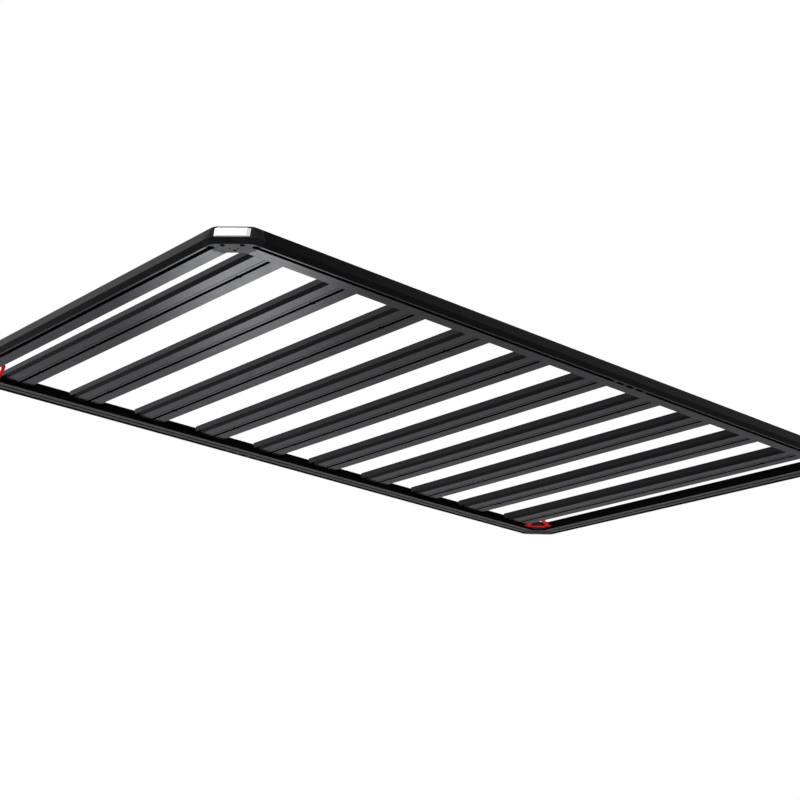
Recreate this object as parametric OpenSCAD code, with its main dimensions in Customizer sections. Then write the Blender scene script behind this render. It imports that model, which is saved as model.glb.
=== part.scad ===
// Flat platform roof rack: ten hollow cross slats carried on the ledge of a
// four-sided rail frame, with cast corners, T-slots and red tie-down loops.
// X runs along the long rails, Y along the slats, Z up, origin at bottom centre.

/* [Overall] */
// Length over the long rails
rack_l = 2163; // [2100:1:2240]
// Width over the long rails, across the slats' direction
rack_w = 1255; // [1000:1:1500]
// Number of cross slats
slat_count = 10; // [8:1:10]
// Gap between each end rail's inner edge and the slat beside it
slat_end_space = 55.8; // [54:0.1:120]

/* [Rail section] */
// Width of the rail from its inner edge to its widest outer edge
rail_w = 61.2; // [60:0.1:66]
// Height of the rail
rail_h = 42; // [40:0.5:48]
// Width of the ledge that carries the slats
ledge_w = 20.4; // [18:0.1:22]
// Height of the ledge's upper face
ledge_top = 10; // [9:0.1:12]
// Step between the ledge's underside and the rail's lowest face
ledge_lift = 1.35; // [0.5:0.05:2.5]
// Height where the two outer facets meet
facet_h = 9.6; // [8:0.1:12]
// Width of the lower outer facet, seen from below
lower_facet_w = 11; // [8:0.1:12]
// Lean of the upper outer facet, from its lower edge to the rail's full height
upper_facet_w = 14.2; // [10:0.1:16]
// Height of the inner wall above the ground
inner_wall_h = 33.5; // [30:0.1:36]
// Width of the rail's top, before its outer edge is rounded
crown_w = 8.6; // [7:0.1:10]
// Radius of the rail's rounded top edge
crown_r = 3.2; // [1:0.1:4]
// Wall thickness of the hollow rail
rail_wall = 2.5; // [2:0.1:3]

/* [Rail T-slot] */
// Opening of the T-slot under the rail
rail_slot_w = 11.3; // [8:0.1:12]
// Distance from the rail's inner edge to the middle of the T-slot
rail_slot_at = 39.95; // [38.5:0.05:41]
// Width of the channel above the T-slot's lips
rail_channel_w = 19.3; // [17:0.1:20]
// Height of that channel
rail_channel_h = 9; // [7:0.1:10]
// Thickness of the T-slot's lips
rail_lip = 2.4; // [2:0.1:3]

/* [Slat section] */
// Height of a slat
slat_h = 29.4; // [26:0.1:32]
// Widest width of a slat
slat_w = 93; // [84:0.5:100]
// Height of the widest edge above the slat's underside
slat_waist_h = 7.9; // [6:0.1:10]
// Width of the slat's underside
slat_bottom_w = 75.6; // [70:0.1:80]
// Width of that underside's level part
slat_flat_w = 60; // [50:0.5:66]
// Height that the underside gains beside its level part
slat_rise = 0.7; // [0.3:0.1:1.2]
// Width of the slat's top
slat_top_w = 73; // [68:0.1:80]
// Width of the pad along the middle of the underside
slat_pad_w = 21.8; // [19:0.1:26]
// How far that pad stands proud
slat_pad_h = 0.6; // [0.3:0.1:1]
// Wall thickness of the hollow slat
slat_wall = 2.2; // [1.8:0.1:2.4]
// Opening of the T-slots in a slat's top and underside
slat_slot_w = 8.7; // [8.2:0.1:9]
// Width of the channels behind those T-slots
slat_channel_w = 15; // [14.5:0.1:17]
// Depth of those channels
slat_channel_h = 7.5; // [6.5:0.1:8]
// Gap between a slat's end and the rail's inner wall
slat_end_gap = 0.4; // [0.2:0.1:1]
// Diameter of the bolt entry in a slat's lower T-slot
keyhole_d = 14; // [12:0.1:14.4]
// Distance of the bolt entries from the slat's ends
keyhole_inset = 149.3; // [100:0.1:200]

/* [Corner casting] */
// Length of a corner casting along each rail, from the inner edges' crossing
corner_arm = 35; // [33:0.5:45]
// Leg of the inner 45 degree cut
corner_cut = 27; // [20:0.5:31]
// Leg of the outer faces' 45 degree cut
outer_cut = 32.4; // [27:0.1:34]
// Offset from the inner edge about which the outer faces are rounded
blend_at = 24; // [20:0.5:34]
// Radius of the fillets where the cut meets the inner edges
inner_fillet_r = 12; // [6:0.5:14]
// Length of the key's part that plugs into each rail
tongue_l = 26; // [15:1:40]
// Length of the key's part that plugs into the casting
socket_l = 10; // [8:0.5:11]
// Clearance round the key
tongue_clear = 0.3; // [0.1:0.05:0.5]
// Distance of the T-slot's bolt entry from the casting's joint
entry_in = 7.7; // [5:0.1:9]
// Diameter of that bolt entry
entry_d = 15; // [12:0.1:16]
// Place of the two recessed screws, from the inner edges' crossing
corner_screw_at = 29.6; // [28:0.1:31]
// Diameter of the accessory hole through the corner's ledge
corner_hole_d = 7; // [5:0.1:8]
// Place of the accessory hole, from the inner edges' crossing
corner_hole_at = 5.2; // [4:0.1:6]
// Diameter of the two small blind holes
dimple_d = 4; // [3:0.1:5]
// Place of the small holes along one inner edge
dimple_along = 9.3; // [8:0.1:10.5]
// Place of the small holes across that edge
dimple_across = 3.2; // [2:0.1:4]
// Depth of the small holes
dimple_depth = 5; // [3:0.5:6]

/* [Badge plate] */
// Length of the blank plate
badge_l = 76; // [70:0.5:80]
// Height of the blank plate up the facet
badge_h = 22.8; // [18:0.1:24]
// Distance of the plate's upper edge from the facet's upper end
badge_drop = 7.2; // [6:0.1:9]
// Thickness of the blank plate
badge_t = 3.9; // [2.5:0.1:4.5]
// Length of its bevelled ends
badge_bevel = 8; // [4:0.5:9]
// Depth of its pocket
pocket_d = 1.5; // [1:0.1:2]
// Width of the pocket floor left showing below the plate
pocket_margin = 4; // [1:0.5:5]

/* [Tie-down loop] */
// Thickness of the loop's plate
loop_t = 4; // [3:0.5:6]
// Width of the ring's bar
loop_bar_w = 10; // [8:0.5:12]
// Slope of the ring, rising into the rack
loop_tilt = 46; // [30:1:55]
// Inside radius of the bend between foot and ring
loop_bend_r = 3; // [2:0.5:6]
// Gap between the loop's foot and the walls round it
loop_gap = 0.3; // [0.2:0.1:1]
// Distance of the bend from the inner edges' crossing
loop_bend_at = 34.3; // [32:0.1:36]
// Reach of the feet along the rails, from that crossing
loop_foot = 53.7; // [50:0.1:54]
// Outer radius of the ring's nose
loop_nose_r = 26.7; // [22:0.1:30]
// Angle at which the ring's arms close in
loop_splay = 39; // [30:1:45]
// Width of the bar left at the bend
loop_eye_in = 1; // [0.5:0.1:4]
// Place of the loop's screws, along each rail from the crossing
loop_screw_at = 24; // [22:0.5:28]

/* [Fasteners] */
// Diameter of the slat bolts
bolt_d = 8; // [6:0.5:8]
// Head diameter of the slat bolts
bolt_head_d = 13; // [11:0.5:14]
// Head height of the slat bolts
bolt_head_h = 4.4; // [3:0.1:5]
// Distance from the slat's end to its bolt
bolt_inset = 10; // [8:0.5:12]
// Diameter of the corner screws
screw_d = 6; // [5:0.5:6.5]
// Head diameter of the corner screws
screw_head_d = 10; // [9:0.5:10.5]
// Length of a corner screw, with its head
screw_l = 22; // [16:1:26]
// Diameter of the loop's screws
loop_screw_d = 5; // [4:0.5:6]
// Head diameter of the loop's screws
loop_head_d = 9; // [7:0.5:10]
// Head height of the loop's screws
loop_head_h = 3; // [2:0.1:4]
// Depth to which those screws enter the casting
loop_screw_in = 6.5; // [4:0.5:7]
// Clearance round heads and shanks
fit_clear = 0.3; // [0.1:0.05:0.5]
// Depth below the face at which a corner screw's head lies
screw_recess = 1; // [0.5:0.1:2]
// Spacing of the four slot nuts under each long rail
nut_pitch = 36; // [30:1:50]
// Distance of the slot nuts' middle from the rack's middle
nut_at = 163; // [100:1:400]
// Length of a slot nut's neck along the rail
nut_neck_l = 7; // [5:0.5:10]
// Length of a slot nut along the rail
nut_l = 16; // [12:0.5:20]
// Height of a slot nut above the lips
nut_h = 5; // [4:0.5:6]

/* [Hidden] */
$fn = 48;

black_coat = [0.07, 0.07, 0.075];
cast_coat = [0.1, 0.1, 0.105];
loop_red = [0.75, 0.03, 0.03];
plate_white = [0.93, 0.93, 0.93];
screw_steel = [0.35, 0.35, 0.36];

// Margin by which a cutting shape passes a face
over = 1;
// Inner edges of the frame, from the middle
inner_x = rack_l / 2 - rail_w;
inner_y = rack_w / 2 - rail_w;
// Half of a slat's length
slat_half_l = inner_y + ledge_w - slat_end_gap;
// Lengths of the rails between the corner castings
side_rail_l = 2 * (inner_x - corner_arm);
end_rail_l = 2 * (inner_y - corner_arm);

// Rail outline, x outward from the inner edge and y up
flat_end = rail_w - lower_facet_w;
lower_run = lower_facet_w / facet_h;
facet_rise = rail_h - facet_h;
crown_out = rail_w - upper_facet_w;
crown_in = crown_out - crown_w;
// Angle of the upper facet's outward normal, and its length
facet_normal = atan2(upper_facet_w, facet_rise);
facet_len = norm([upper_facet_w, facet_rise]);
// Rounded outer edge of the top, from the facet up to the flat
crown_steps = 3;
crown_centre = [crown_out - crown_r * tan((90 - facet_normal) / 2), rail_h - crown_r];
crown_arc = [
    for (i = [0:crown_steps])
        let (a = facet_normal + (90 - facet_normal) * i / crown_steps)
        crown_centre + crown_r * [cos(a), sin(a)]
];
rail_outline = concat(
    [[0, ledge_lift], [ledge_w, ledge_lift], [ledge_w, 0], [flat_end, 0], [rail_w, facet_h]],
    crown_arc,
    [[crown_in, rail_h], [ledge_w, inner_wall_h], [ledge_w, ledge_top], [0, ledge_top]]
);
// Outer line of the large chamber, before its wall is taken off
channel_top = rail_lip + rail_channel_h;
function facet_x(z) = rail_w - (z - facet_h) * upper_facet_w / facet_rise;
chamber_face = [
    [ledge_w, channel_top], [facet_x(channel_top), channel_top],
    [crown_out, rail_h], [crown_in, rail_h], [ledge_w, inner_wall_h]
];
ledge_face = [
    [0, ledge_lift], [ledge_w, ledge_lift], [ledge_w, ledge_top], [0, ledge_top]
];

// Slat outline, x from the slot's middle and y up from the underside
slat_half = [
    [slat_pad_w / 2, 0], [slat_pad_w / 2, slat_pad_h],
    [slat_flat_w / 2, slat_pad_h], [slat_bottom_w / 2, slat_pad_h + slat_rise],
    [slat_w / 2, slat_waist_h], [slat_top_w / 2, slat_h]
];
slat_outline = concat(slat_half, [for (i = [len(slat_half) - 1:-1:0]) [-slat_half[i][0], slat_half[i][1]]]);
web_x = slat_channel_w / 2;
slat_z = ledge_top;
slat_pitch = (2 * (inner_x - slat_end_space) - slat_w) / (slat_count - 1);
function slat_x(i) = (i - (slat_count - 1) / 2) * slat_pitch;

// Corner casting: a cut's leg and an outward offset give the turning points
half_turn = tan(22.5);
function turn_at(leg, o) = -leg + o * half_turn;
// Depth by which a rounding crosses the flats that it joins
round_cross = 0.02;
// The section's outer side, filled inward past the frame's inner edge
fill_in = 3 * rail_w;
crown_run = (crown_in - ledge_w) / (rail_h - inner_wall_h);
outer_side = concat(
    [[-fill_in, 0], [flat_end, 0], [rail_w, facet_h]],
    crown_arc,
    [[-fill_in, rail_h]]
);
over_ledge = [
    [-fill_in, ledge_top], [ledge_w, ledge_top], [ledge_w, inner_wall_h],
    [crown_in + over * crown_run, rail_h + over], [-fill_in, rail_h + over]
];
under_ledge = [
    [-fill_in, -over], [ledge_w, -over], [ledge_w, ledge_lift], [-fill_in, ledge_lift]
];
// The outer side seen from the rounding's axis, run on past the top and underside
function from_axis(p) = [p[0] - blend_at + round_cross, p[1]];
crown_end = crown_arc[crown_steps];
crown_last = crown_end - crown_arc[crown_steps - 1];
past_top = crown_end + crown_last * 2 * over / crown_last[1];
round_side = concat(
    [[0, -2 * over], from_axis([flat_end - 2 * over * lower_run, -2 * over]), from_axis([rail_w, facet_h])],
    [for (i = [0:crown_steps - 1]) from_axis(crown_arc[i])],
    [from_axis(past_top), [0, rail_h + 2 * over]]
);

// A convex outline moved inward by a wall, each side kept parallel
function unit(v) = v / norm(v);
function side_normal(p, q) = let (d = unit(q - p)) [-d[1], d[0]];
function cross2(a, b) = a[0] * b[1] - a[1] * b[0];
function meet(p, d, q, e) = p + d * cross2(q - p, e) / cross2(d, e);
function inset(pts, wall) = let (n = len(pts)) [
    for (i = [0:n - 1])
        let (
            before = pts[(i + n - 1) % n],
            here = pts[i],
            after = pts[(i + 1) % n]
        )
        meet(here + side_normal(before, here) * wall, here - before,
             here + side_normal(here, after) * wall, after - here)
];

// The open T-slot under a rail, in the rail's section
module rail_slot_section() {
    translate([rail_slot_at - rail_slot_w / 2, -over])
        square([rail_slot_w, rail_lip + 2 * over]);
    translate([rail_slot_at - rail_channel_w / 2, rail_lip])
        square([rail_channel_w, rail_channel_h]);
}

module rail_section() {
    difference() {
        polygon(rail_outline);
        polygon(inset(chamber_face, rail_wall));
        polygon(inset(ledge_face, rail_wall));
        rail_slot_section();
    }
}

// A section drawn with x outward, run along a side of the frame
module run(length) {
    rotate([90, 0, 0])
        linear_extrude(length, center = true) children();
}

// A rail on the +X side, turned to its own side by the caller
module rail(reach, length) {
    color(black_coat) translate([reach, 0, 0]) run(length) rail_section();
}

module side_rail() {
    difference() {
        rail(inner_y, side_rail_l);
        for (i = [0:slat_count - 1])
            translate([slat_half_l - bolt_inset, slat_x(i), ledge_top - rail_wall - over])
                cylinder(d = bolt_d + 2 * fit_clear, h = rail_wall + 2 * over);
    }
}

module slat_channel_section() {
    translate([-slat_slot_w / 2, -over])
        square([slat_slot_w, slat_wall + 2 * over]);
    translate([-web_x, slat_wall])
        square([slat_channel_w, slat_channel_h]);
}

module slat_section() {
    web_z = slat_wall + slat_channel_h + slat_wall;
    side_face = [
        [web_x, slat_pad_h], [slat_flat_w / 2, slat_pad_h], [slat_bottom_w / 2, slat_pad_h + slat_rise],
        [slat_w / 2, slat_waist_h], [slat_top_w / 2, slat_h], [web_x, slat_h]
    ];
    difference() {
        polygon(slat_outline);
        slat_channel_section();
        translate([0, slat_h]) mirror([0, 1]) slat_channel_section();
        translate([-web_x, web_z]) square([slat_channel_w, slat_h - 2 * web_z]);
        for (s = [0, 1])
            mirror([s, 0]) polygon(inset(side_face, slat_wall));
    }
}

module slat(i) {
    color(black_coat)
    translate([slat_x(i), 0, slat_z])
    difference() {
        run(2 * slat_half_l) slat_section();
        for (s = [-1, 1])
            translate([0, s * (slat_half_l - keyhole_inset), -over])
                cylinder(d = keyhole_d, h = slat_wall + 2 * over);
        for (s = [-1, 1])
            translate([0, s * (slat_half_l - bolt_inset), -over])
                cylinder(d = bolt_d + 2 * fit_clear, h = slat_h - slat_wall - slat_channel_h + 2 * over);
    }
}

// Bolts in the slats' upper channels, reaching down through the ledge's top wall
module slat_bolts() {
    seat = slat_z + slat_h - slat_wall - slat_channel_h;
    tip = ledge_top - rail_wall;
    color(screw_steel)
    for (i = [0:slat_count - 1])
        translate([slat_x(i), slat_half_l - bolt_inset, 0])
            difference() {
                union() {
                    translate([0, 0, tip]) cylinder(d = bolt_d, h = seat - tip);
                    translate([0, 0, seat]) cylinder(d = bolt_head_d, h = bolt_head_h);
                }
                translate([0, 0, seat + bolt_head_h / 2])
                    cylinder(d = bolt_head_d / 2, h = bolt_head_h, $fn = 6);
            }
}

// The sides of the casting, each drawn as a long run and kept where all three agree
module three_sides(leg) {
    intersection() {
        run(4 * rail_w) children();
        rotate(45) translate([-leg / sqrt(2), 0, 0]) run(4 * rail_w) children();
        rotate(90) run(4 * rail_w) children();
    }
}

// What the rounding takes off where two outer faces meet
module outer_round() {
    translate([blend_at, turn_at(outer_cut, blend_at), 0])
        difference() {
            rotate_extrude(angle = 45)
                translate([0, -over]) square([rail_w, rail_h + 2 * over]);
            rotate(180) rotate_extrude() polygon(round_side);
        }
}

// Plan of a fillet between the ledge's inner edge and its 45 degree cut
module inner_fillet() {
    start = turn_at(corner_cut, 0) - inner_fillet_r * half_turn;
    tip = (inner_fillet_r + over) / sqrt(2);
    difference() {
        polygon([
            [-inner_fillet_r, start], [over, start], [over, over - corner_cut],
            [tip - inner_fillet_r, start + tip]
        ]);
        translate([-inner_fillet_r, start]) circle(inner_fillet_r + round_cross);
    }
}

// The open space inside the frame, up to the ledge's inner edge
module inner_space() {
    translate([0, 0, -over])
        linear_extrude(rail_h + 2 * over)
            difference() {
                polygon([
                    [-fill_in, -fill_in], [0, -fill_in], [0, -corner_cut], [-corner_cut, 0], [-fill_in, 0]
                ]);
                both_arms() inner_fillet();
            }
}

module both_arms() {
    children();
    mirror([1, -1, 0]) children();
}

// The chamber's inside, from a place along the arm, less a clearance
module chamber_run(from, length, clear) {
    translate([0, from + length / 2, 0])
        run(length) polygon(inset(inset(chamber_face, rail_wall), clear));
}

// Key that joins the casting to a rail
module key() {
    chamber_run(-corner_arm - tongue_l, tongue_l + socket_l - tongue_clear, tongue_clear);
}

module casting_body() {
    difference() {
        intersection() {
            three_sides(outer_cut) polygon(outer_side);
            translate([-corner_arm, -corner_arm, -over])
                cube([corner_arm + rail_w + over, corner_arm + rail_w + over, rail_h + 2 * over]);
        }
        inner_space();
        three_sides(corner_cut) polygon(over_ledge);
        three_sides(corner_cut) polygon(under_ledge);
        both_arms() {
            outer_round();
            chamber_run(-corner_arm - over, socket_l + over, 0);
        }
    }
}

// End of the rail's T-slot, with its round bolt entry
module slot_entry() {
    translate([0, -corner_arm + (entry_in - over) / 2, 0])
        run(entry_in + over) rail_slot_section();
    translate([rail_slot_at, -corner_arm + entry_in, -over])
        cylinder(d = entry_d, h = rail_lip + 2 * over);
    translate([rail_slot_at, -corner_arm + entry_in, rail_lip])
        cylinder(d = rail_channel_w, h = rail_channel_h);
}

module corner_screw_hole() {
    head_depth = screw_recess + screw_d;
    translate([corner_screw_at, 0, -over]) {
        cylinder(d = screw_head_d + 4 * fit_clear, h = head_depth + over);
        cylinder(d = screw_d + 2 * fit_clear, h = screw_recess + screw_l + 2 * over);
    }
}

// The upper facet of the 45 degree face: x along it, y up it, z out of it
module on_cut_facet() {
    rotate(45) translate([rail_w - outer_cut / sqrt(2), 0, facet_h])
        rotate([0, 0, 90]) rotate([90 - facet_normal, 0, 0]) children();
}

badge_low = facet_len - badge_drop - badge_h;
module badge_pocket() {
    on_cut_facet()
        translate([-badge_l / 2 - fit_clear, badge_low - pocket_margin, -pocket_d])
            cube([badge_l + 2 * fit_clear, badge_h + pocket_margin + fit_clear, 4 * pocket_d]);
}

// A place on the casting's ledge, above the foot of the loop
module at_loop_screw() {
    translate([ledge_w / 2, -loop_screw_at, 0]) children();
}

module corner(with_badge = false) {
    color(cast_coat)
    difference() {
        casting_body();
        both_arms() {
            slot_entry();
            corner_screw_hole();
            translate([dimple_along, -dimple_across, -over])
                cylinder(d = dimple_d, h = dimple_depth + over);
            at_loop_screw() translate([0, 0, ledge_top - loop_screw_in - fit_clear])
                cylinder(d = loop_screw_d + 2 * fit_clear, h = loop_screw_in + fit_clear + over);
        }
        translate([-corner_hole_at, -corner_hole_at, -over])
            cylinder(d = corner_hole_d, h = ledge_top + 2 * over);
        if (with_badge) badge_pocket();
    }
    color(cast_coat) both_arms() key();
}

// Blank plate with bevelled ends, lying in its pocket
module badge_plate_shape() {
    side = badge_l / 2;
    color(plate_white)
    on_cut_facet()
        translate([0, badge_low + badge_h, -pocket_d])
            rotate([90, 0, 0])
                linear_extrude(badge_h)
                    polygon([
                        [-side, 0], [side, 0], [side, pocket_d], [side - badge_bevel, badge_t],
                        [badge_bevel - side, badge_t], [-side, pocket_d]
                    ]);
}

// Two recessed screws from below and the loop's two screws from above
module corner_screws() {
    color(screw_steel)
    both_arms() {
        translate([corner_screw_at, 0, screw_recess])
            difference() {
                union() {
                    cylinder(d = screw_head_d, h = screw_d);
                    cylinder(d = screw_d, h = screw_l);
                }
                translate([0, 0, -over])
                    cylinder(d = screw_head_d / 2, h = screw_d / 2 + over, $fn = 6);
            }
        at_loop_screw() translate([0, 0, ledge_top])
            difference() {
                union() {
                    translate([0, 0, -loop_screw_in]) cylinder(d = loop_screw_d, h = loop_screw_in + loop_t);
                    translate([0, 0, loop_t]) cylinder(d = loop_head_d, h = loop_head_h);
                }
                translate([0, 0, loop_t + loop_head_h / 2])
                    cylinder(d = loop_screw_d / 2, h = loop_head_h, $fn = 6);
            }
    }
}

// Tie-down loop: one bent plate, its feet on the ledges and its ring rising into
// the rack. In the side view x runs inward from the inner edges' crossing.
loop_bend_start = loop_bend_at - (loop_bend_r + loop_t) * tan(loop_tilt / 2);
loop_bend_steps = 6;
loop_ring_l = 3 * loop_nose_r;
function bend_point(r, i) =
    let (a = loop_tilt * i / loop_bend_steps)
    [loop_bend_start + r * sin(a), loop_bend_r + loop_t - r * cos(a)];
ring_end = loop_ring_l * [cos(loop_tilt), sin(loop_tilt)];
loop_side = concat(
    [[-rail_w, 0]],
    [for (i = [0:loop_bend_steps]) bend_point(loop_bend_r + loop_t, i)],
    [bend_point(loop_bend_r + loop_t, loop_bend_steps) + ring_end],
    [bend_point(loop_bend_r, loop_bend_steps) + ring_end],
    [for (i = [loop_bend_steps:-1:0]) bend_point(loop_bend_r, i)],
    [[-rail_w, loop_t]]
);
// Plan of the feet, in the corner's own directions
foot_wall = ledge_w - loop_gap;
foot_toe = loop_foot - sqrt(2) * loop_bend_at;
foot_turn = turn_at(corner_cut, foot_wall);
foot_plan = [
    [-loop_foot, foot_toe], [foot_toe, -loop_foot], [foot_wall, -loop_foot],
    [foot_wall, foot_turn], [foot_turn, foot_wall], [-loop_foot, foot_wall]
];
// The ring in its own plane, x up the slope from the bend
bend_half = sqrt(2) * loop_foot - loop_bend_at;
nose_at = (bend_half * cos(loop_splay) - loop_nose_r) / sin(loop_splay);
function ring_half(x, r) = (r + (nose_at - x) * sin(loop_splay)) / cos(loop_splay);
module ring_plan(from, r) {
    touch = nose_at + r * sin(loop_splay);
    intersection() {
        union() {
            polygon([
                [from, ring_half(from, r)], [from, -ring_half(from, r)],
                [touch, -r * cos(loop_splay)], [touch, r * cos(loop_splay)]
            ]);
            translate([nose_at, 0]) circle(r + round_cross);
        }
        translate([from, -loop_foot]) square([loop_ring_l, 2 * loop_foot]);
    }
}

// A plan in the ring's plane, cut through the plate
module through_ring() {
    translate([loop_bend_at, 0, 0]) rotate([0, -loop_tilt, 0])
        translate([0, 0, -over]) linear_extrude(loop_t + 2 * over) children();
}

module loop() {
    color(loop_red)
    difference() {
        translate([0, 0, ledge_top]) rotate(-135)
            intersection() {
                rotate([90, 0, 0]) linear_extrude(4 * loop_foot, center = true) polygon(loop_side);
                union() {
                    rotate(135) translate([0, 0, -over])
                        linear_extrude(loop_bend_r + 2 * loop_t) polygon(foot_plan);
                    through_ring() ring_plan(0, loop_nose_r);
                }
            }
        translate([0, 0, ledge_top]) rotate(-135)
            through_ring() ring_plan(loop_eye_in, loop_nose_r - loop_bar_w);
        translate([-corner_hole_at, -corner_hole_at, ledge_top - over])
            cylinder(d = corner_hole_d + 2 * fit_clear, h = loop_t + 2 * over);
        both_arms() at_loop_screw()
            translate([0, 0, ledge_top - over])
                cylinder(d = loop_screw_d + 2 * fit_clear, h = loop_t + 2 * over);
    }
}

// Nut with a neck that fills the T-slot flush with the lips
module slot_nuts() {
    color(black_coat)
    for (i = [-1.5:1:1.5])
        translate([inner_y + rail_slot_at, nut_at + i * nut_pitch, 0]) {
            translate([0, 0, (rail_lip + over) / 2])
                cube([rail_slot_w - 2 * fit_clear, nut_neck_l, rail_lip + over], center = true);
            translate([0, 0, rail_lip + nut_h / 2])
                cube([rail_channel_w - 4 * fit_clear, nut_l, nut_h], center = true);
        }
}

// Places: every corner is drawn at back right and turned or mirrored to its own
module at_corner(sx, sy) {
    mirror([sx < 0 ? 1 : 0, 0, 0])
        mirror([0, sy < 0 ? 1 : 0, 0])
            translate([inner_x, inner_y, 0]) children();
}

slat(0);  // slat_01
slat(1);  // slat_02
slat(2);  // slat_03
slat(3);  // slat_04
slat(4);  // slat_05
slat(5);  // slat_06
slat(6);  // slat_07
slat(7);  // slat_08
slat(8);  // slat_09
slat(9);  // slat_10
rotate(-90) side_rail();  // side_rail_front
rotate(90) side_rail();  // side_rail_back
rotate(180) rail(inner_x, end_rail_l);  // end_rail_left
rail(inner_x, end_rail_l);  // end_rail_right
at_corner(-1, -1) corner(true);  // corner_front_left
at_corner(1, -1) corner();  // corner_front_right
at_corner(-1, 1) corner();  // corner_back_left
at_corner(1, 1) corner();  // corner_back_right
at_corner(-1, -1) badge_plate_shape();  // badge_plate
at_corner(-1, -1) loop();  // loop_front_left
at_corner(1, -1) loop();  // loop_front_right
at_corner(-1, 1) loop();  // loop_back_left
at_corner(1, 1) loop();  // loop_back_right
at_corner(-1, -1) corner_screws();  // corner_screws_front_left
at_corner(1, -1) corner_screws();  // corner_screws_front_right
at_corner(-1, 1) corner_screws();  // corner_screws_back_left
at_corner(1, 1) corner_screws();  // corner_screws_back_right
rotate(180) slat_bolts();  // slat_bolts_front
slat_bolts();  // slat_bolts_back
rotate(-90) slot_nuts();  // slot_nuts_front
rotate(90) slot_nuts();  // slot_nuts_back
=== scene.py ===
"""Looks of a flat platform roof rack: black powder coat, red loops and a blank white plate."""
import math

import bmesh
import bpy
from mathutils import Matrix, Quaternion, Vector


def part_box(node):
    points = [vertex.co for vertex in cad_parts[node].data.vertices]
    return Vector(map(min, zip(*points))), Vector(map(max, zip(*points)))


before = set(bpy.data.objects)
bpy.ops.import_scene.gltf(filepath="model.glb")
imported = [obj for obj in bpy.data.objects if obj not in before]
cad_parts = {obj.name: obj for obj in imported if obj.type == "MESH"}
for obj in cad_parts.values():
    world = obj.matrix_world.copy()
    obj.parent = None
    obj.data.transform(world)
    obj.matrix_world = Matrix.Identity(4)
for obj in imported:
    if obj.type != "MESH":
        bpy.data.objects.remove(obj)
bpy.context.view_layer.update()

MM = 0.001

# Camera: where it stands, what it looks at, and how far it leans
CAMERA_AT = Vector((-2.7363, -3.1779, -1.4035))
CAMERA_AIM = Vector((-0.1664, -0.1047, 0.0))
CAMERA_ROLL = 2.5
CAMERA_LENS = 73.3
SENSOR = 36.0

# Floor, well below the rack because the picture looks up at it
FLOOR_Z = -1.95
FLOOR_RADIUS = 12.0

# Ripples to the metre in the finishes
MOTTLE = 60.0
GLOSS_DRIFT = 25.0
ORANGE_PEEL = 320.0
PAINT_GRAIN = 2200.0
POLISH = 900.0
METAL_GRAIN = 3000.0
FLOOR_MOTTLE = 0.6
# Heights of the ripples
PEEL_DEPTH = 0.06 * MM
GRAIN_DEPTH = 0.02 * MM
# How far roughness strays to either side, and the stretch that most of a noise lies in
PAINT_STRAY = 0.03
METAL_STRAY = 0.06
NOISE_LOW = 0.3
NOISE_HIGH = 0.7
# The black and red coats mirror little, the plate as much as common plastic
COAT_IOR = 1.25
PLATE_IOR = 1.45

# Radius that each edge is shaded with
EDGE_ROUND = 0.6 * MM
CAST_EDGE_ROUND = 0.9 * MM
PLATE_EDGE_ROUND = 0.4 * MM

# The top edges of the rails and corners look rounder than the others
TOP_EDGE_Z = 36 * MM
TOP_EDGE_ROUND = 4.5 * MM
# Height part of the normal of a slat's outer strips, which the paint evens out
STRIP_NORMAL_Z = -0.996
STRIP_TOLERANCE = 0.002

# Colours as linear red, green and blue
BLACK = (0.0085, 0.0085, 0.009, 1.0)
CAST_BLACK = (0.03, 0.03, 0.031, 1.0)
RED = (0.62, 0.008, 0.006, 1.0)
WHITE = (0.82, 0.82, 0.81, 1.0)
OXIDE = (0.01, 0.01, 0.011, 1.0)
ZINC = (0.07, 0.07, 0.072, 1.0)
FLOOR_GREY = (0.8, 0.8, 0.8, 1.0)
LAMP_TINT = (0.98, 0.99, 1.03)

# What the paint mirrors: a dim room with soft patches, each with azimuth, elevation and reach in
# degrees, and brightness
ROOM_BASE = 0.03
ROOM_PATCHES = [
    (103.0, 45.0, 44.0, 0.34),
    (-13.0, 41.0, 22.0, 0.19),
    (0.0, 90.0, 32.0, 0.85),
]

# Lamps that stand off from what they light: distance, azimuth, elevation, width and watts
LOW_PANEL = (4.0, 56.0, -24.4, 0.6, 3.2)
LOW_GLOW = (4.0, 56.0, -24.4, 1.0, 3.2)
FRONT_PANEL = (5.0, -135.0, 35.0, 2.5, 40.0)
PLATE_PANEL = (5.0, 172.0, 0.0, 1.5, 650.0)
TOP_PANEL = (5.0, 14.0, 49.0, 2.4, 17.0)
LOOP_PANEL_WIDTH = 1.0
LOOP_PANEL_WATTS = 240.0
# Lamps over the floor behind the rack: name, x, y and watts
FLOOR_LAMPS = [
    ("floor_lamp_left", 0.5, 5.5, 124.0),
    ("floor_lamp_right", 6.5, 4.8, 88.0),
]
FLOOR_LAMP_Z = 3.0
FLOOR_LAMP_WIDTH = 3.0

SLATS = sorted(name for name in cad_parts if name.removeprefix("slat_").isdigit())
NEAR_SLATS = SLATS[:5]
RAILS = ["side_rail_front", "side_rail_back", "end_rail_left", "end_rail_right"]
PLACES = ["front_left", "front_right", "back_left", "back_right"]


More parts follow.
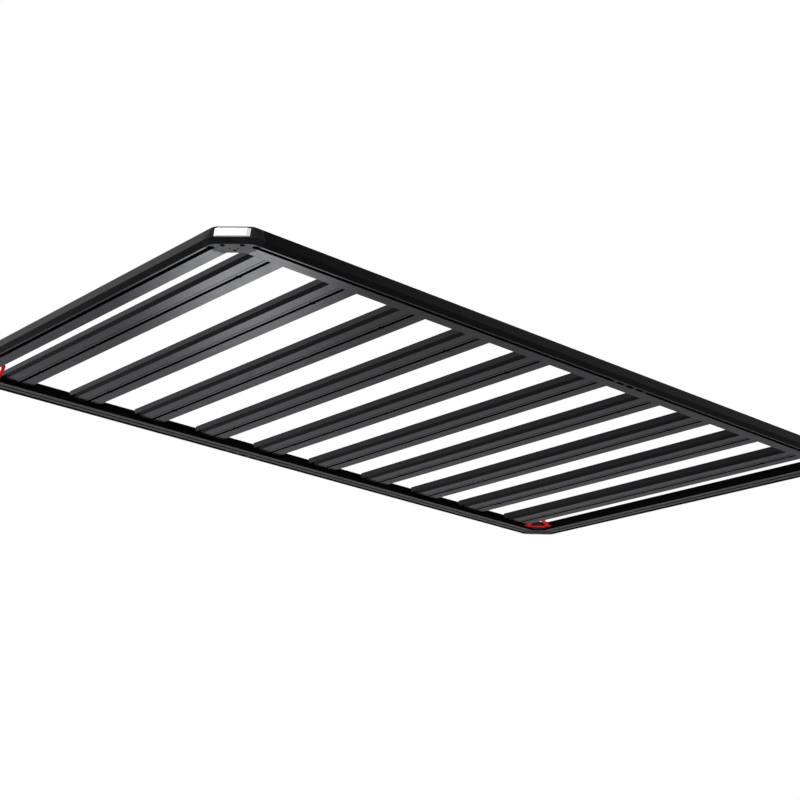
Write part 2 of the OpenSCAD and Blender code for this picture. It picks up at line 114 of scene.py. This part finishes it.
class Nodes:
    """A small helper that adds nodes to one tree and links them by name."""

    def __init__(self, tree):
        self.tree = tree
        tree.nodes.clear()

    def add(self, kind, **inputs):
        node = self.tree.nodes.new(kind)
        for key, value in inputs.items():
            node.inputs[key.replace("_", " ")].default_value = value
        return node

    def link(self, out_socket, in_socket):
        self.tree.links.new(out_socket, in_socket)

    def noise(self, scale, detail=2.0, rough=0.5):
        """Noise in the object's own metres, so scale is ripples to the metre."""
        place = self.add("ShaderNodeTexCoord")
        noise = self.add("ShaderNodeTexNoise", Scale=scale, Detail=detail, Roughness=rough)
        self.link(place.outputs["Object"], noise.inputs["Vector"])
        return noise.outputs["Fac"]

    def ranged(self, value, from_min, from_max, to_min, to_max):
        """Map Range node that takes a value from one stretch to another."""
        node = self.add(
            "ShaderNodeMapRange", From_Min=from_min, From_Max=from_max, To_Min=to_min, To_Max=to_max
        )
        self.link(value, node.inputs["Value"])
        return node

    def spread(self, value, low, high):
        """The middle of a noise, stretched to a range."""
        return self.ranged(value, NOISE_LOW, NOISE_HIGH, low, high).outputs["Result"]

    def height(self, kind):
        """Z of the object's own place or normal."""
        place = self.add("ShaderNodeTexCoord")
        axes = self.add("ShaderNodeSeparateXYZ")
        self.link(place.outputs[kind], axes.inputs["Vector"])
        return axes.outputs["Z"]

    def principled(self, **inputs):
        """Main shader, linked to the material's output."""
        shader = self.add("ShaderNodeBsdfPrincipled", **inputs)
        out = self.add("ShaderNodeOutputMaterial")
        self.link(shader.outputs["BSDF"], out.inputs["Surface"])
        return shader

    def mottled(self, shader, dark, light, amount):
        """Colour of a shader, mixed from two by an amount."""
        tint = self.add("ShaderNodeMix")
        tint.data_type = "RGBA"
        tint.inputs["A"].default_value = dark
        tint.inputs["B"].default_value = light
        self.link(amount, tint.inputs["Factor"])
        self.link(tint.outputs["Result"], shader.inputs["Base Color"])


def shaded(colour, share):
    """A colour made darker or lighter."""
    return tuple(min(1.0, c * share) for c in colour[:3]) + (1.0,)


def new_material(name):
    mat = bpy.data.materials.new(name)
    mat.use_nodes = True
    return mat, Nodes(mat.node_tree)


def rounded_normal(n, edge, top_edge):
    """Normal with rounded edges, more so along the part's top where top_edge is given."""
    rounded = n.add("ShaderNodeBevel", Radius=edge)
    rounded.samples = 4 if top_edge is None else 8
    if top_edge is not None:
        radius = n.ranged(n.height("Object"), TOP_EDGE_Z - MM, TOP_EDGE_Z, edge, top_edge)
        n.link(radius.outputs["Result"], rounded.inputs["Radius"])
    return rounded.outputs["Normal"]


def evened_normal(n, normal):
    """Shades a slat's shallow outer strips as if they faced straight down, as in the photo."""
    strip = n.add("ShaderNodeMath")
    strip.operation = "COMPARE"
    n.link(n.height("Normal"), strip.inputs[0])
    strip.inputs[1].default_value = STRIP_NORMAL_Z
    strip.inputs[2].default_value = STRIP_TOLERANCE
    mix = n.add("ShaderNodeMix")
    mix.data_type = "VECTOR"
    n.link(strip.outputs["Value"], mix.inputs["Factor"])
    n.link(normal, mix.inputs["A"])
    mix.inputs["B"].default_value = (0.0, 0.0, -1.0)
    return mix.outputs["Result"]


def powder_coat(
    name, colour, rough, peel, grain,
    edge=EDGE_ROUND, top_edge=None, ior=COAT_IOR, evened=False, patchy=0.2,
):
    """Baked powder paint: a soft orange peel, a fine grain on it and slightly rounded edges."""
    mat, n = new_material(name)
    shader = n.principled(IOR=ior)
    amount = n.spread(n.noise(MOTTLE, 4.0), 0.0, 1.0)
    n.mottled(shader, shaded(colour, 1.0 - patchy), shaded(colour, 1.0 + patchy), amount)
    gloss = n.spread(n.noise(GLOSS_DRIFT, 3.0), rough - PAINT_STRAY, rough + PAINT_STRAY)
    n.link(gloss, shader.inputs["Roughness"])

    normal = rounded_normal(n, edge, top_edge)
    if evened:
        normal = evened_normal(n, normal)
    wave = n.add("ShaderNodeBump", Strength=peel, Distance=PEEL_DEPTH)
    n.link(n.noise(ORANGE_PEEL, 1.0), wave.inputs["Height"])
    n.link(normal, wave.inputs["Normal"])
    fine = n.add("ShaderNodeBump", Strength=grain, Distance=GRAIN_DEPTH)
    n.link(n.noise(PAINT_GRAIN, 2.0), fine.inputs["Height"])
    n.link(wave.outputs["Normal"], fine.inputs["Normal"])
    n.link(fine.outputs["Normal"], shader.inputs["Normal"])
    return mat


def metal(name, colour, rough):
    """Bare or blackened steel with a little scatter in its polish."""
    mat, n = new_material(name)
    shader = n.principled(Metallic=1.0, Base_Color=colour)
    gloss = n.spread(n.noise(POLISH, 3.0), rough - METAL_STRAY, rough + METAL_STRAY)
    n.link(gloss, shader.inputs["Roughness"])
    bump = n.add("ShaderNodeBump", Strength=0.2, Distance=GRAIN_DEPTH)
    n.link(n.noise(METAL_GRAIN, 2.0), bump.inputs["Height"])
    n.link(bump.outputs["Normal"], shader.inputs["Normal"])
    return mat


def floor_material():
    mat, n = new_material("studio_floor")
    shader = n.principled(Roughness=0.8)
    n.mottled(shader, shaded(FLOOR_GREY, 0.98), FLOOR_GREY, n.noise(FLOOR_MOTTLE))
    return mat


def wear(node, mat):
    """Gives a carried-over node its finish."""
    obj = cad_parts[node]
    if not obj.material_slots:
        obj.data.materials.append(mat)
    for slot in obj.material_slots:
        slot.material = mat


def finishes():
    coat = {"rough": 0.16, "peel": 0.22, "grain": 0.2}
    cast_coat = {"rough": 0.33, "peel": 0.6, "grain": 0.5, "edge": CAST_EDGE_ROUND}
    plate_coat = {"rough": 0.35, "peel": 0.1, "grain": 0.1, "edge": PLATE_EDGE_ROUND}
    slat_paint = powder_coat("slat_black_coat", BLACK, evened=True, **coat)
    rail_paint = powder_coat("rail_black_coat", BLACK, top_edge=TOP_EDGE_ROUND, **coat)
    cast_paint = powder_coat("cast_black_coat", CAST_BLACK, top_edge=TOP_EDGE_ROUND, **cast_coat)
    red_paint = powder_coat("red_powder_coat", RED, rough=0.4, peel=0.3, grain=0.2)
    plate = powder_coat("plate_white", WHITE, ior=PLATE_IOR, patchy=0.02, **plate_coat)
    oxide = metal("black_oxide", OXIDE, rough=0.4)
    zinc = metal("dull_zinc", ZINC, rough=0.45)
    for node in SLATS:
        wear(node, slat_paint)
    for node in RAILS:
        wear(node, rail_paint)
    for place in PLACES:
        wear("corner_" + place, cast_paint)
        wear("loop_" + place, red_paint)
        wear("corner_screws_" + place, oxide)
    wear("badge_plate", plate)
    for side in ("front", "back"):
        wear("slat_bolts_" + side, oxide)
        wear("slot_nuts_" + side, zinc)


def make_floor():
    mesh = bpy.data.meshes.new("studio_floor")
    bm = bmesh.new()
    bmesh.ops.create_circle(bm, cap_ends=True, radius=FLOOR_RADIUS, segments=96)
    bm.to_mesh(mesh)
    bm.free()
    floor = bpy.data.objects.new("studio_floor", mesh)
    floor.location = (0.0, 0.0, FLOOR_Z)
    floor.data.materials.append(floor_material())
    bpy.context.scene.collection.objects.link(floor)


def direction(azimuth, elevation):
    """Unit vector at an azimuth from X and a height angle, both in degrees."""
    a, e = math.radians(azimuth), math.radians(elevation)
    return Vector((math.cos(e) * math.cos(a), math.cos(e) * math.sin(a), math.sin(e)))


def make_world():
    """White behind the rack for the camera, and a soft grey room for what the paint mirrors."""
    world = bpy.data.worlds.new("studio")
    bpy.context.scene.world = world
    world.use_nodes = True
    n = Nodes(world.node_tree)
    path = n.add("ShaderNodeLightPath")
    seen = n.add("ShaderNodeBackground", Color=(1.0, 1.0, 1.0, 1.0), Strength=1.0)
    room = n.add("ShaderNodeBackground", Color=LAMP_TINT + (1.0,))
    place = n.add("ShaderNodeTexCoord")
    total = None
    for azimuth, elevation, reach, bright in ROOM_PATCHES:
        towards = n.add("ShaderNodeVectorMath")
        towards.operation = "DOT_PRODUCT"
        n.link(place.outputs["Generated"], towards.inputs[0])
        towards.inputs[1].default_value = direction(azimuth, elevation)
        patch = n.ranged(towards.outputs["Value"], math.cos(math.radians(reach)), 1.0, 0.0, bright)
        patch.interpolation_type = "SMOOTHSTEP"
        grown = n.add("ShaderNodeMath")
        n.link(patch.outputs["Result"], grown.inputs[0])
        if total is None:
            grown.inputs[1].default_value = ROOM_BASE
        else:
            n.link(total, grown.inputs[1])
        total = grown.outputs["Value"]
    n.link(total, room.inputs["Strength"])
    mix = n.add("ShaderNodeMixShader")
    n.link(path.outputs["Is Camera Ray"], mix.inputs["Fac"])
    n.link(room.outputs["Background"], mix.inputs[1])
    n.link(seen.outputs["Background"], mix.inputs[2])
    out = n.add("ShaderNodeOutputWorld")
    n.link(mix.outputs["Shader"], out.inputs["Surface"])


def area_light(name, at, aim, size, watts):
    light = bpy.data.lights.new(name, "AREA")
    light.shape = "DISK"
    light.size = size
    light.energy = watts
    light.color = LAMP_TINT
    obj = bpy.data.objects.new(name, light)
    obj.location = at
    obj.rotation_mode = "QUATERNION"
    obj.rotation_quaternion = (Vector(aim) - Vector(at)).to_track_quat("-Z", "Y")
    bpy.context.scene.collection.objects.link(obj)
    return obj


def light_only(light, names):
    """Keeps a lamp to the named nodes."""
    group = bpy.data.collections.new(light.name + "_receivers")
    for name in names:
        group.objects.link(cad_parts[name])
    light.light_linking.receiver_collection = group


def standing_off(name, lit, lamp):
    """A lamp at its distance and direction from the place that it lights."""
    distance, azimuth, elevation, width, watts = lamp
    return area_light(name, lit + distance * direction(azimuth, elevation), lit, width, watts)


def make_lights():
    near_corner = Vector(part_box("corner_front_left")[0])
    middle = Vector((0.0, 0.0, 0.0))
    # Low panel and the glow round it, kept to the parts near the corner, whose undersides mirror them
    near_parts = NEAR_SLATS + ["side_rail_front", "end_rail_left", "corner_front_left"]
    light_only(standing_off("low_panel", near_corner, LOW_PANEL), near_parts)
    light_only(standing_off("low_glow", near_corner, LOW_GLOW), near_parts)
    # Broad light from the front left on all but the plate
    all_but_plate = [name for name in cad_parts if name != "badge_plate"]
    light_only(standing_off("front_panel", near_corner, FRONT_PANEL), all_but_plate)
    # The white plate has its own, further round to the left, so that its right bevel stays grey
    light_only(standing_off("plate_panel", near_corner, PLATE_PANEL), ["badge_plate"])
    # The red loops are lit from the camera's side
    loop_panel = area_light("loop_panel", CAMERA_AT, middle, LOOP_PANEL_WIDTH, LOOP_PANEL_WATTS)
    light_only(loop_panel, ["loop_" + place for place in PLACES])
    # High light over the right end, which the rails' rounded top edges catch
    standing_off("top_panel", middle, TOP_PANEL)
    # The undersides mirror the floor that these light, but nothing mirrors the lamps themselves
    for name, x, y, watts in FLOOR_LAMPS:
        lamp = area_light(name, (x, y, FLOOR_LAMP_Z), (x, y, FLOOR_Z), FLOOR_LAMP_WIDTH, watts)
        lamp.visible_glossy = False


def make_camera():
    data = bpy.data.cameras.new("camera")
    data.lens = CAMERA_LENS
    data.sensor_width = SENSOR
    data.clip_end = 100.0
    camera = bpy.data.objects.new("camera", data)
    camera.location = CAMERA_AT
    look = CAMERA_AIM - CAMERA_AT
    level = look.to_track_quat("-Z", "Y")
    lean = Quaternion((0.0, 0.0, 1.0), math.radians(CAMERA_ROLL))
    camera.rotation_mode = "QUATERNION"
    camera.rotation_quaternion = level @ lean
    bpy.context.scene.collection.objects.link(camera)
    bpy.context.scene.camera = camera


make_camera()
make_world()
make_floor()
make_lights()
finishes()
bpy.context.scene.view_settings.view_transform = "Standard"
